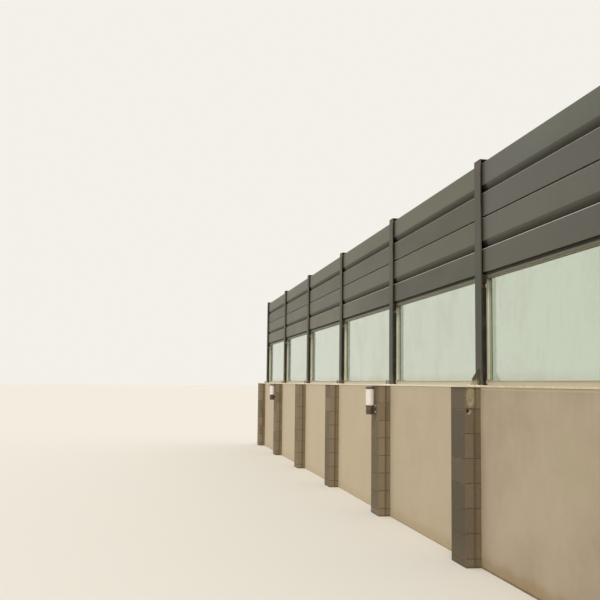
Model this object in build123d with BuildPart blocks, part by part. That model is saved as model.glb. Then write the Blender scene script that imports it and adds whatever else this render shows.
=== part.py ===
# Noise barrier on a low boundary wall, a run of equal bays between steel H posts.
# Millimetres. X runs along the barrier, -Y faces the road and Z is up. The origin is on the
# ground, at mid length of the run and at mid thickness of the wall.
from build123d import *
import os

os.makedirs("parts", exist_ok=True)

# Run of the barrier
bay_count = 6
bay_length = 3000.0            # from post centre to post centre

# Masonry wall and piers
brick_thickness = 240.0
render_thickness = 10.0        # smooth render on each face of the wall
wall_height = 1550.0           # from the ground to the underside of the coping
pier_width = 380.0             # along the run, over the tiles
pier_projection = 140.0        # in front of and behind the rendered wall, over the tiles
tile_thickness = 10.0
missing_tile_width = 80.0      # outer tile of the top course, fallen off one pier
missing_tile_height = 185.0
missing_tile_pier = 2          # counted from the near end, +X
coping_thickness = 16.0
coping_overhang = 10.0

# Steel posts: an H section on a base plate, set towards the road on it
post_width = 150.0             # over the flanges, along the run
post_depth = 113.0             # through the section, across the run
post_front = 75.0              # from the middle of the pane to the road-side flange
web_thickness = 7.0
flange_thickness = 10.0
root_radius = 8.0
post_above_panels = 26.0
post_cap_thickness = 6.0
base_plate_length = 290.0      # across the run
base_plate_width = 160.0       # along the run
base_plate_thickness = 16.0
gusset_posts = (2,)            # counted from the near end, +X
gusset_reach = 60.0
gusset_height = 155.0
gusset_nose = 62.0             # height of the upright edge at the gusset's toe
gusset_thickness = 10.0

# Panels between the posts
panel_end_gap = 16.5           # from the web of the post to the end of a panel
seat_gap = 0.3                 # left between pieces that rest in each other
joint_gap = 12.0               # shadow gap between stacked panels
tongue_width = 24.0
tongue_engagement = 20.0
tongue_side_gap = 1.0

# Folded acoustic cassette
cassette_height = 500.0
cassette_thickness = 77.5
cassette_front = 50.0          # from the middle of the pane to the road-side face
lower_flat = 221.0             # from the bottom edge to the top of the lip
roll_height = 74.0             # from the top of the lip to where the upper flat begins
groove_depth = 32.0            # on each face
groove_slot = 4.0              # upright step between the ledge and the foot of the roll
lip_radius = 10.0
edge_radius = 4.0

# Glazed frame
frame_height = 1000.0
frame_front = 30.0             # from the middle of the pane to the road-side face
frame_back = 27.5
stile_width = 62.0
top_rail_height = 28.0
bottom_rail_height = 26.0
bead_width = 16.0
bead_depth = 38.0
glass_thickness = 10.0
glass_engagement = 12.0

# Wall lamps
lamp_piers = (3, 6)            # counted from the near end, +X
lamp_standoff = 67.0           # from the pier's face to the lamp's axis
lamp_drop = 12.0               # from the underside of the coping to the top of the cap
lamp_cap_height = 30.0
lamp_cap_radius = 52.0
lamp_cap_dome = 6.0
cap_skirt = 8.0                # the cap's rim reaches this far down over the diffuser
diffuser_visible = 199.0       # white height between base and cap
diffuser_radius = 49.5
diffuser_wall = 3.0
lamp_base_height = 110.0
lamp_base_radius = 47.0
lamp_base_foot_radius = 42.0
lamp_base_taper = 6.0
lamp_collar_height = 12.0
spigot_height = 12.0           # rises inside the diffuser
bracket_plate_width = 112.0
bracket_plate_height = 100.0
bracket_plate_thickness = 5.0
bracket_corner_radius = 6.0
bracket_arm_width = 50.0
bracket_arm_height = 60.0
bracket_rise = 12.0            # middle of the plate above the middle of the base

# Worked out from the sizes above
wall_thickness = brick_thickness + 2 * render_thickness
pier_depth = wall_thickness + 2 * pier_projection
post_count = bay_count + 1
panel_length = bay_length - web_thickness - 2 * panel_end_gap
coping_top = wall_height + coping_thickness
plate_top = wall_height + base_plate_thickness
frame_bottom = max(coping_top, plate_top)
tongue_rise = joint_gap + tongue_engagement
lower_cassette_bottom = frame_bottom + frame_height + joint_gap
upper_cassette_bottom = lower_cassette_bottom + cassette_height + joint_gap
panel_top = upper_cassette_bottom + cassette_height
post_top = panel_top + post_above_panels
pier_face = -pier_depth / 2
post_y = post_depth / 2 - post_front
cassette_y = cassette_thickness / 2 - cassette_front


def post_x(number):
    """Place of a post or pier, counted from 1 at the near end."""
    return (bay_count / 2 - (number - 1)) * bay_length


def bay_x(number):
    """Middle of a bay, counted from 1 at the near end."""
    return post_x(number) - bay_length / 2


def save(piece, name):
    piece.label = name
    export_step(piece, "parts/" + name + ".step")


def elevation(x, z, y=0):
    """Upright plane along the run, its normal towards the road."""
    return Plane(origin=(x, y, z), x_dir=(1, 0, 0), z_dir=(0, -1, 0))


def section_across(x, z, y=0):
    """Upright plane across the run, its normal along +X."""
    return Plane(origin=(x, y, z), x_dir=(0, 1, 0), z_dir=(1, 0, 0))


# Low wall between the piers
def make_wall(number):
    with BuildPart() as wall:
        with BuildSketch(Plane((bay_x(number), 0, 0))):
            Rectangle(bay_length - pier_width, wall_thickness)
        extrude(amount=wall_height)
    return wall.part


# Tiled pier under a post. One tile has fallen off the second pier.
def make_pier(number):
    with BuildPart() as pier:
        with BuildSketch(Plane((post_x(number), 0, 0))):
            Rectangle(pier_width, pier_depth)
        extrude(amount=wall_height)
        if number == missing_tile_pier:
            near_face = post_x(number) + pier_width / 2
            with BuildSketch(section_across(near_face, wall_height)):
                with Locations((pier_face, 0)):
                    Rectangle(missing_tile_width, missing_tile_height, align=(Align.MIN, Align.MAX))
            extrude(amount=-tile_thickness, mode=Mode.SUBTRACT)
    return pier.part


# Coping over wall and piers, made up round the base plates of the posts
def make_coping():
    with BuildPart() as coping:
        with BuildSketch(Plane.XY.offset(wall_height)):
            Rectangle(bay_count * bay_length, wall_thickness + 2 * coping_overhang)
            post_places = [(post_x(number), 0) for number in range(1, post_count + 1)]
            with Locations(*post_places):
                Rectangle(pier_width + 2 * coping_overhang, pier_depth + 2 * coping_overhang)
                Rectangle(base_plate_width + 2 * seat_gap, base_plate_length + 2 * seat_gap,
                          mode=Mode.SUBTRACT)
        extrude(amount=coping_thickness)
    return coping.part


# H post welded to its base plate. The second post is braced by a gusset on the road side.
def make_post(number):
    x = post_x(number)
    channel_width = post_width
    gusset_toe = post_front + gusset_reach
    with BuildPart() as post:
        with BuildSketch(Plane((x, 0, wall_height))):
            Rectangle(base_plate_width, base_plate_length)
        extrude(amount=base_plate_thickness)
        with BuildSketch(Plane((x, post_y, plate_top))):
            Rectangle(post_width, post_depth)
            channel_centre = (web_thickness + channel_width) / 2
            with Locations((-channel_centre, 0), (channel_centre, 0)):
                RectangleRounded(channel_width, post_depth - 2 * flange_thickness, root_radius,
                                 mode=Mode.SUBTRACT)
        extrude(amount=post_top - plate_top)
        if number in gusset_posts:
            with BuildSketch(section_across(x, plate_top)):
                with BuildLine():
                    Polyline((-post_front, 0), (-gusset_toe, 0), (-gusset_toe, gusset_nose),
                             (-post_front, gusset_height), close=True)
                make_face()
            extrude(amount=gusset_thickness / 2, both=True)
    return post.part


# Plates that close the tops of the posts
def make_post_caps():
    with BuildPart() as caps:
        with BuildSketch(Plane.XY.offset(post_top)):
            with Locations(*[(post_x(number), post_y) for number in range(1, post_count + 1)]):
                Rectangle(post_width, post_depth)
        extrude(amount=post_cap_thickness)
    return caps.part


# Acoustic cassette: one folded outline, with a lip and a rolled groove on both faces. A tongue
# along its top enters the socket of the panel above.
def make_cassette(number, bottom, with_tongue):
    face = cassette_thickness / 2
    groove_floor = face - groove_depth
    roll_top = lower_flat + roll_height
    tongue_half = tongue_width / 2
    socket_half = tongue_half + tongue_side_gap
    top = cassette_height + tongue_rise if with_tongue else cassette_height
    with BuildPart() as cassette:
        with BuildSketch(section_across(bay_x(number) - panel_length / 2, bottom, cassette_y)):
            with BuildLine():
                Polyline((0, tongue_engagement), (socket_half, tongue_engagement), (socket_half, 0),
                         (face - edge_radius, 0))
                TangentArc((face - edge_radius, 0), (face, edge_radius), tangent=(1, 0))
                Line((face, edge_radius), (face, lower_flat - lip_radius))
                TangentArc((face, lower_flat - lip_radius), (face - lip_radius, lower_flat), tangent=(0, 1))
                Polyline((face - lip_radius, lower_flat), (groove_floor, lower_flat),
                         (groove_floor, lower_flat + groove_slot))
                TangentArc((face, roll_top), (groove_floor, lower_flat + groove_slot), tangent=(0, -1))
                Line((face, roll_top), (face, cassette_height - edge_radius))
                TangentArc((face, cassette_height - edge_radius), (face - edge_radius, cassette_height),
                           tangent=(0, 1))
                if with_tongue:
                    Polyline((face - edge_radius, cassette_height), (tongue_half, cassette_height),
                             (tongue_half, top), (0, top))
                else:
                    Line((face - edge_radius, cassette_height), (0, top))
                Line((0, top), (0, tongue_engagement))
            make_face()
            mirror(about=Plane.YZ)
        extrude(amount=panel_length)
    return cassette.part


# Glazed frame: deep outer bars, a stepped bead round the pane and a tongue on the top rail
def make_frame(number):
    window_length = panel_length - 2 * stile_width
    window_height = frame_height - top_rail_height - bottom_rail_height
    with BuildPart() as frame:
        with BuildSketch(elevation(bay_x(number), frame_bottom, frame_back)):
            Rectangle(panel_length, frame_height, align=(Align.CENTER, Align.MIN))
            with Locations((0, bottom_rail_height)):
                Rectangle(window_length, window_height, align=(Align.CENTER, Align.MIN), mode=Mode.SUBTRACT)
        extrude(amount=frame_front + frame_back)
        with BuildSketch(elevation(bay_x(number), frame_bottom + bottom_rail_height)):
            Rectangle(window_length, window_height, align=(Align.CENTER, Align.MIN))
            with Locations((0, bead_width)):
                Rectangle(window_length - 2 * bead_width, window_height - 2 * bead_width,
                          align=(Align.CENTER, Align.MIN), mode=Mode.SUBTRACT)
        extrude(amount=bead_depth / 2, both=True)
        with BuildSketch(elevation(bay_x(number), frame_bottom + frame_height, cassette_y)):
            Rectangle(panel_length, tongue_rise, align=(Align.CENTER, Align.MIN))
        extrude(amount=tongue_width / 2, both=True)
        with BuildSketch(elevation(bay_x(number), pane_bottom() - seat_gap)):
            Rectangle(pane_length() + 2 * seat_gap, pane_height() + 2 * seat_gap,
                      align=(Align.CENTER, Align.MIN))
        extrude(amount=glass_thickness / 2 + seat_gap, both=True, mode=Mode.SUBTRACT)
    return frame.part


def pane_length():
    return panel_length - 2 * (stile_width + bead_width - glass_engagement)


def pane_height():
    return frame_height - top_rail_height - bottom_rail_height - 2 * (bead_width - glass_engagement)


def pane_bottom():
    return frame_bottom + bottom_rail_height + bead_width - glass_engagement


# One clear pane in each bay
def make_panes():
    with BuildPart() as panes:
        with BuildSketch(elevation(0, pane_bottom())):
            with Locations(*[(bay_x(number), 0) for number in range(1, bay_count + 1)]):
                Rectangle(pane_length(), pane_height(), align=(Align.CENTER, Align.MIN))
        extrude(amount=glass_thickness / 2, both=True)
    return panes.part


# Wall lamps: bracket, base, opal diffuser and cap
lamp_y = pier_face - lamp_standoff
cap_bottom = wall_height - lamp_drop - lamp_cap_height
diffuser_bottom = cap_bottom - diffuser_visible
lamp_base_bottom = diffuser_bottom - lamp_base_height
bracket_z = lamp_base_bottom + lamp_base_height / 2 + bracket_rise
arm_z = lamp_base_bottom + (lamp_base_height - lamp_collar_height) / 2
bore_radius = diffuser_radius - diffuser_wall


def lamp_axis(number):
    return Axis((post_x(number), lamp_y, 0), (0, 0, 1))


def make_brackets():
    with BuildPart() as brackets:
        for number in lamp_piers:
            with BuildSketch(elevation(post_x(number), bracket_z, pier_face)):
                RectangleRounded(bracket_plate_width, bracket_plate_height, bracket_corner_radius)
            extrude(amount=bracket_plate_thickness)
            with BuildSketch(elevation(post_x(number), arm_z, pier_face)):
                Rectangle(bracket_arm_width, bracket_arm_height)
            extrude(amount=lamp_standoff)
            with BuildSketch(Plane((post_x(number), lamp_y, lamp_base_bottom))):
                Circle(lamp_base_radius + seat_gap)
            extrude(amount=lamp_base_height, mode=Mode.SUBTRACT)
    return brackets.part


def make_lamp_bases():
    shoulder = lamp_base_height - lamp_collar_height
    spigot_radius = bore_radius - seat_gap
    flare = lamp_cap_radius - lamp_base_radius
    with BuildPart() as bases:
        for number in lamp_piers:
            with BuildSketch(elevation(post_x(number), lamp_base_bottom, lamp_y)):
                with BuildLine():
                    Polyline((0, 0), (lamp_base_foot_radius, 0), (lamp_base_radius, lamp_base_taper),
                             (lamp_base_radius, shoulder - flare), (lamp_cap_radius, shoulder),
                             (lamp_cap_radius, lamp_base_height), (spigot_radius, lamp_base_height),
                             (spigot_radius, lamp_base_height + spigot_height),
                             (0, lamp_base_height + spigot_height), close=True)
                make_face()
            revolve(axis=lamp_axis(number))
    return bases.part


def make_diffusers():
    height = diffuser_visible + cap_skirt
    with BuildPart() as diffusers:
        for number in lamp_piers:
            with BuildSketch(elevation(post_x(number), diffuser_bottom, lamp_y)):
                with BuildLine():
                    Polyline((bore_radius, 0), (diffuser_radius, 0), (diffuser_radius, height), (0, height),
                             (0, height - diffuser_wall), (bore_radius, height - diffuser_wall), close=True)
                make_face()
            revolve(axis=lamp_axis(number))
    return diffusers.part


def make_lamp_caps():
    rim = diffuser_radius + seat_gap
    with BuildPart() as caps:
        for number in lamp_piers:
            with BuildSketch(elevation(post_x(number), cap_bottom, lamp_y)):
                with BuildLine():
                    Polyline((0, cap_skirt), (rim, cap_skirt), (rim, 0), (lamp_cap_radius, 0),
                             (lamp_cap_radius, lamp_cap_height - lamp_cap_dome))
                    TangentArc((0, lamp_cap_height), (lamp_cap_radius, lamp_cap_height - lamp_cap_dome),
                               tangent=(1, 0))
                    Line((0, lamp_cap_height), (0, cap_skirt))
                make_face()
            revolve(axis=lamp_axis(number))
    return caps.part


for number in range(1, bay_count + 1):
    save(make_wall(number), f"wall_bay_{number}")
    save(make_frame(number), f"glazing_frame_{number}")
    save(make_cassette(number, lower_cassette_bottom, True), f"acoustic_panel_lower_{number}")
    save(make_cassette(number, upper_cassette_bottom, False), f"acoustic_panel_upper_{number}")
for number in range(1, post_count + 1):
    save(make_pier(number), f"pier_{number}")
    save(make_post(number), f"post_{number}")
save(make_coping(), "coping")
save(make_post_caps(), "post_caps")
save(make_panes(), "glass_panes")
save(make_brackets(), "lamp_brackets")
save(make_lamp_bases(), "lamp_bases")
save(make_diffusers(), "lamp_diffusers")
save(make_lamp_caps(), "lamp_caps")
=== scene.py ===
"""Finishes and small parts of a noise barrier on a low boundary wall. Metres, in the part's frame."""

import math
import random

import bmesh
import bpy
from mathutils import Matrix, Vector, noise


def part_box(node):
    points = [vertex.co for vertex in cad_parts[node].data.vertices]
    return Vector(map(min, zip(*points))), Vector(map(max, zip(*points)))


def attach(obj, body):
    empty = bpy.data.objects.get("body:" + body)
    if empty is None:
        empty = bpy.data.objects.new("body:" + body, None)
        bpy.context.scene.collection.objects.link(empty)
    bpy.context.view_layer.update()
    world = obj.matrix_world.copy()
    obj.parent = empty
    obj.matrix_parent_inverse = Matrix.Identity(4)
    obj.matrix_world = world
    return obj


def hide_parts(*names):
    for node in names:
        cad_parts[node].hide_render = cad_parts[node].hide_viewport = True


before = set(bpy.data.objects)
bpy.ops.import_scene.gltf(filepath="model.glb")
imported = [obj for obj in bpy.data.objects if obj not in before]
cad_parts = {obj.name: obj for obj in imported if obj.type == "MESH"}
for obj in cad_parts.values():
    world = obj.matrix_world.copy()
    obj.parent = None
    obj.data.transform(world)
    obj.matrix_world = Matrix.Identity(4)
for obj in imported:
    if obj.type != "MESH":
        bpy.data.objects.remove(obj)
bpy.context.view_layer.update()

# Sizes that the finishes and small parts need, the same as in the part's source
BAY = 3.0
BAYS = 6
POSTS = BAYS + 1
WALL_HALF = 0.13
WALL_TOP = 1.55
PIER_HALF_X = 0.19
PIER_HALF_Y = 0.27
TILE = 0.010
COPING_TOP = WALL_TOP + 0.016
PLATE_TOP = COPING_TOP
PLATE_HALF_X = 0.080
PLATE_HALF_Y = 0.145
POST_FRONT = -0.075
FLANGE_INSIDE = POST_FRONT + 0.010      # back of the posts' road-side flange
FRAME_BOTTOM = COPING_TOP
FRAME_TOP = FRAME_BOTTOM + 1.0
FRAME_FACE = -0.030                     # road side of the glazed frames
SIGHT_HALF = 1.402                      # half of the clear opening inside the beads
SIGHT_BOTTOM = FRAME_BOTTOM + 0.042
SIGHT_TOP = FRAME_TOP - 0.044
GLASS_HALF = 0.005
LOWER_PANEL = FRAME_TOP + 0.012         # feet of the two rows of panels
UPPER_PANEL = LOWER_PANEL + 0.512
LOWER_LIP = LOWER_PANEL + 0.221         # where the flat above a panel's foot rolls inwards
UPPER_LIP = UPPER_PANEL + 0.221
UPPER_FLAT = UPPER_LIP + 0.074          # where the flat above the roll starts
POST_TOP = UPPER_PANEL + 0.526
LAMP_PIERS = (3, 6)
LAMP_PLATE_FACE = -PIER_HALF_Y - 0.005


def post_x(number):
    return (BAYS / 2 - (number - 1)) * BAY


def bay_x(number):
    return post_x(number) - BAY / 2


# Finishes

class Value:
    """One output of a node. Sums with numbers or other values add Math nodes."""

    def __init__(self, finish, socket):
        self.finish = finish
        self.socket = socket

    def __add__(self, other):
        return self.finish.math("ADD", self, other)

    def __radd__(self, other):
        return self.finish.math("ADD", other, self)

    def __sub__(self, other):
        return self.finish.math("SUBTRACT", self, other)

    def __rsub__(self, other):
        return self.finish.math("SUBTRACT", other, self)

    def __mul__(self, other):
        return self.finish.math("MULTIPLY", self, other)

    def __rmul__(self, other):
        return self.finish.math("MULTIPLY", other, self)


class Finish:
    """A material, or the world, that is put together node by node. Colours are red, green and blue."""

    def __init__(self, name, owner=None):
        self.owner = owner or bpy.data.materials.new(name)
        self.owner.use_nodes = True
        self.nodes = self.owner.node_tree.nodes
        self.links = self.owner.node_tree.links
        self.nodes.clear()
        self.placed = None

    def add(self, kind, settings=None, values=None, output=0):
        node = self.nodes.new(kind)
        for name, setting in (settings or {}).items():
            setattr(node, name, setting)
        for key, value in (values or {}).items():
            socket = node.inputs[key]
            if isinstance(value, Value):
                self.links.new(value.socket, socket)
            else:
                socket.default_value = (*value, 1.0) if socket.type == "RGBA" else value
        return Value(self, node.outputs[output]) if node.outputs else None

    def math(self, operation, first, second):
        return self.add("ShaderNodeMath", {"operation": operation}, {0: first, 1: second})

    def most(self, first, second):
        return self.math("MAXIMUM", first, second)

    def place(self):
        if self.placed is None:
            self.placed = self.add("ShaderNodeTexCoord", output="Object")
        return self.placed

    def along(self, axis):
        return self.add("ShaderNodeSeparateXYZ", {}, {0: self.place()}, output=axis)

    def facing(self, axis):
        """How far the surface faces along an axis of the part, from -1 to 1."""
        normal = self.add("ShaderNodeNewGeometry", output="Normal")
        return self.add("ShaderNodeSeparateXYZ", {}, {0: normal}, output=axis)

    def spread(self, size, stretch, seed):
        scale = [1 / (size * part) for part in stretch]
        start = (7.31 * seed, 3.17 * seed, 5.73 * seed)
        return self.add("ShaderNodeMapping", {}, {"Vector": self.place(), "Location": start, "Scale": scale})

    def cloud(self, size, stretch=(1, 1, 1), *, detail, rough=0.5, seed):
        """Soft noise from 0 to 1 with features of about that size in metres."""
        values = {"Vector": self.spread(size, stretch, seed), "Scale": 1.0}
        values.update({"Detail": detail, "Roughness": rough})
        return self.add("ShaderNodeTexNoise", {"noise_dimensions": "3D"}, values)

    def cells(self, size, seed):
        """Cells of about that size in metres, each of one colour."""
        values = {"Vector": self.spread(size, (1, 1, 1), seed), "Scale": 1.0}
        return self.add("ShaderNodeTexVoronoi", {"feature": "F1"}, values, output="Color")

    def rise(self, value, low, high):
        """0 at low and 1 at high, smooth between them; low may be above high."""
        values = {"Value": value, "From Min": low, "From Max": high}
        return self.add("ShaderNodeMapRange", {"interpolation_type": "SMOOTHSTEP"}, values)

    def beyond(self, number, blur):
        """1 on the bays past a post, counted from the near end, and 0 before it."""
        return self.rise(self.along("X"), post_x(number) + blur, post_x(number) - blur)

    def seen(self):
        """1 where the camera sees the surface straight, in a mirror or through glass, 0 for other light."""
        mask = self.add("ShaderNodeLightPath", output="Is Camera Ray")
        for ray in ("Is Glossy Ray", "Is Transmission Ray"):
            mask = self.most(mask, self.add("ShaderNodeLightPath", output=ray))
        return mask

    def mark(self, name):
        return self.add("ShaderNodeAttribute", {"attribute_name": name}, output="Fac")

    def mix(self, share, first, second, blend="MIX"):
        values = {0: share, 6: first, 7: second}
        return self.add("ShaderNodeMix", {"data_type": "RGBA", "blend_type": blend}, values, output=2)

    def layers(self, colour, *coats):
        """Coats laid over a colour in turn, each given as the share that it covers and its colour."""
        for share, over in coats:
            colour = self.mix(share, colour, over)
        return colour

    def relief(self, height, depth):
        return self.add("ShaderNodeBump", {}, {"Height": height, "Distance": depth}, output="Normal")

    def coat(self, colour, roughness, relief=None, **constants):
        values = {"Base Color": colour, "Roughness": roughness}
        values.update({name.replace("_", " "): value for name, value in constants.items()})
        if relief is not None:
            values["Normal"] = relief
        return self.add("ShaderNodeBsdfPrincipled", {}, values)

    def either(self, share, first, second):
        return self.add("ShaderNodeMixShader", {}, {0: share, 1: first, 2: second})

    def done(self, surface, output="ShaderNodeOutputMaterial"):
        self.add(output, {}, {"Surface": surface})
        return self.owner


def wall_render():
    """Smooth beige render, stained by splashes along the foot and by drips under the coping, with painted
    light in a strip under the coping and on the far bays.
    """
    f = Finish("wall_render")
    z = f.along("Z")
    clouds = f.cloud(0.9, detail=4, rough=0.6, seed=1)
    blots = f.cloud(0.16, detail=3, seed=2)
    sand = f.cloud(0.004, detail=1, seed=3)
    blush = f.cloud(1.3, detail=2, seed=8)
    drips = f.rise(f.cloud(0.06, (1, 1, 16), detail=3, seed=4), 0.50, 0.72)
    drips = drips * f.rise(z, WALL_TOP - 0.80, WALL_TOP - 0.02)
    haze = f.rise(z + 0.35 * blots, 0.62, 0.08)
    splash_edge = 0.02 + 0.12 * f.cloud(0.28, detail=4, rough=0.62, seed=5)
    splash = f.rise(z, splash_edge + 0.07, splash_edge - 0.04)
    mud = f.rise(z + 0.02 * blots, 0.035, 0.012)
    # Painted light: a paler strip just under the coping, stronger beyond the second post, that lifts the
    # coping's shadow
    painted_light_under_coping = f.rise(z, WALL_TOP - 0.030, WALL_TOP - 0.008)
    colour = f.layers(
        f.mix(f.rise(clouds, 0.35, 0.66), (0.505, 0.412, 0.293), (0.600, 0.500, 0.368)),
        (0.5 * f.rise(blots, 0.42, 0.68), (0.575, 0.455, 0.350)),
        (0.30 * f.rise(blush, 0.48, 0.66), (0.60, 0.468, 0.370)),
        (0.30 * f.rise(blush, 0.50, 0.36), (0.575, 0.490, 0.322)),
        (0.10 * f.rise(sand, 0.5, 0.7), (0.33, 0.26, 0.17)),
        (0.08 * drips, (0.33, 0.27, 0.18)),
        (0.30 * haze, (0.42, 0.33, 0.19)),
        (0.56 * splash, (0.36, 0.25, 0.12)),
        (0.75 * mud, (0.12, 0.085, 0.045)),
        # Paler beyond the second, third and fourth posts: painted light on the far bays
        (0.36 * f.beyond(2, 0.2) + 0.22 * f.beyond(3, 0.2), (0.80, 0.68, 0.47)),
        (painted_light_under_coping * (0.80 + 0.16 * f.beyond(2, 0.2)), (0.88, 0.755, 0.545)),
        (0.20 * f.beyond(4, 0.2), (0.84, 0.71, 0.56)),
    )
    trowel = f.cloud(0.22, (2.4, 1, 0.8), detail=2, seed=6)
    relief = f.relief(trowel + 0.10 * sand + 0.10 * f.cloud(0.03, detail=2, seed=7), 0.0035)
    return f.done(f.coat(colour, 0.80 + 0.12 * blots, relief, Specular_IOR_Level=0.35))


def dark_below_lamp(f, number):
    """A narrow dark band on the front of a pier, just below the lamp's back plate."""
    z = f.along("Z")
    off = f.along("X") - (post_x(number) + 0.028)
    dark_band = f.rise(off * off, 0.0007, 0.00003) * f.rise(z, 1.10, 1.17) * f.rise(z, 1.215, 1.185)
    return dark_band * f.rise(f.along("Y"), -0.22, -0.26)


def pier_tile():
    """Matt brown-grey tile, each with a tone of its own, chipped where the part's mark says so, with painted
    shade beside the upright joint and in the chip's hollow.
    """
    f = Finish("pier_tile")
    z = f.along("Z")
    tone, broken = f.mark("tone"), f.mark("broken")
    blots = f.cloud(0.055, detail=4, rough=0.6, seed=11)
    fine = f.cloud(0.006, detail=2, seed=12)
    veins = f.cloud(0.12, (1, 1, 0.35), detail=3, seed=13)
    y_squared = f.along("Y") * f.along("Y")
    cut_tile = f.rise(y_squared, 0.0372, 0.0348)
    # Painted shade on the cut tile next to the upright joint
    shade_beside_joint = cut_tile * f.rise(y_squared, 0.0262, 0.0315)
    colour = f.layers(
        f.mix(f.rise(tone, 0.15, 0.85), (0.150, 0.120, 0.080), (0.215, 0.165, 0.096)),
        (0.55 * f.rise(blots, 0.42, 0.64), (0.186, 0.143, 0.114)),
        (0.45 * f.rise(veins, 0.52, 0.70), (0.152, 0.142, 0.102)),
        (0.40 * f.rise(fine, 0.52, 0.72), (0.098, 0.077, 0.050)),
        (0.34 * f.rise(tone, -0.05, -0.55), (0.070, 0.056, 0.038)),
        (0.42 * f.rise(tone, 0.95, 1.45), (0.36, 0.290, 0.190)),
        (0.35 * cut_tile, (0.150, 0.112, 0.060)),
        (0.46 * shade_beside_joint, (0.095, 0.070, 0.038)),
        (0.30 * f.rise(z + 0.25 * blots, 0.42, 0.06), (0.27, 0.21, 0.13)),
        (0.5 * f.rise(z, 0.03, 0.008), (0.09, 0.07, 0.04)),
        *((0.6 * dark_below_lamp(f, number), (0.05, 0.04, 0.028)) for number in LAMP_PIERS),
        (f.rise(broken, 0.15, 0.45), (0.42, 0.35, 0.24)),
        # The chip's deep hollow, painted near-black: painted shade
        (f.rise(broken, 0.62, 0.85), (0.018, 0.013, 0.008)),
    )
    relief = f.relief(blots + 0.35 * fine, 0.0012)
    return f.done(f.coat(colour, 0.62 + 0.25 * blots, relief, Specular_IOR_Level=0.22))


def tile_joint():
    """Joint mortar, dark with dirt where its mark is 1 and mostly pale where it is 0."""
    f = Finish("tile_joint")
    worn = f.cloud(0.10, (1, 1, 0.6), detail=3, seed=21) + 0.25 * (0.5 - f.mark("tone"))
    worn = worn - 0.14 * f.rise(f.along("Z"), 1.05, 0.75)
    fine = f.cloud(0.004, detail=2, seed=22)
    colour = f.layers(
        f.mix(f.rise(worn, 0.46, 0.66), (0.092, 0.072, 0.047), (0.23, 0.185, 0.125)),
        (0.35 * f.rise(fine, 0.5, 0.7), (0.03, 0.024, 0.016)),
    )
    return f.done(f.coat(colour, 0.93, f.relief(fine, 0.0008)))


def bare_mortar():
    """Pale bedding mortar left where a tile fell off, grey towards its edges."""
    f = Finish("bare_mortar")
    blots = f.cloud(0.03, detail=4, rough=0.6, seed=31)
    fine = f.cloud(0.003, detail=2, seed=32)
    colour = f.layers(
        f.mix(f.rise(blots, 0.38, 0.66), (0.30, 0.25, 0.158), (0.43, 0.362, 0.245)),
        (0.75 * f.rise(f.mark("tone"), 0.75, 0.15), (0.17, 0.135, 0.085)),
        (0.30 * f.rise(fine, 0.5, 0.72), (0.16, 0.125, 0.08)),
    )
    return f.done(f.coat(colour, 0.92, f.relief(blots + 0.4 * fine, 0.002)))


def coping_mortar():
    """Pale mortar, floated by hand, stained on top and brighter beyond the second post."""
    f = Finish("coping_mortar")
    blots = f.cloud(0.14, detail=4, rough=0.6, seed=41)
    fine = f.cloud(0.005, detail=2, seed=42)
    drips = f.cloud(0.025, (1, 1, 6), detail=2, seed=43)
    dirt = f.rise(f.facing("Z"), 0.5, 0.9) * f.rise(f.cloud(0.30, detail=4, rough=0.65, seed=44), 0.46, 0.66)
    bright = f.rise(f.along("X"), post_x(2) + 0.2, post_x(2) - 0.4) * (0.95 - 0.5 * dirt)
    colour = f.layers(
        f.mix(f.rise(blots, 0.35, 0.65), (0.78, 0.67, 0.48), (0.90, 0.82, 0.65)),
        (0.30 * f.rise(drips, 0.55, 0.72), (0.52, 0.42, 0.27)),
        (0.20 * f.rise(fine, 0.5, 0.7), (0.40, 0.33, 0.22)),
        (0.45 * dirt, (0.38, 0.31, 0.20)),
        (bright, (0.97, 0.91, 0.745)),
    )
    relief = f.relief(blots + 0.25 * fine + 0.3 * f.cloud(0.03, detail=3, seed=45), 0.003)
    return f.done(f.coat(colour, 0.86, relief, Specular_IOR_Level=0.35))


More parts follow.
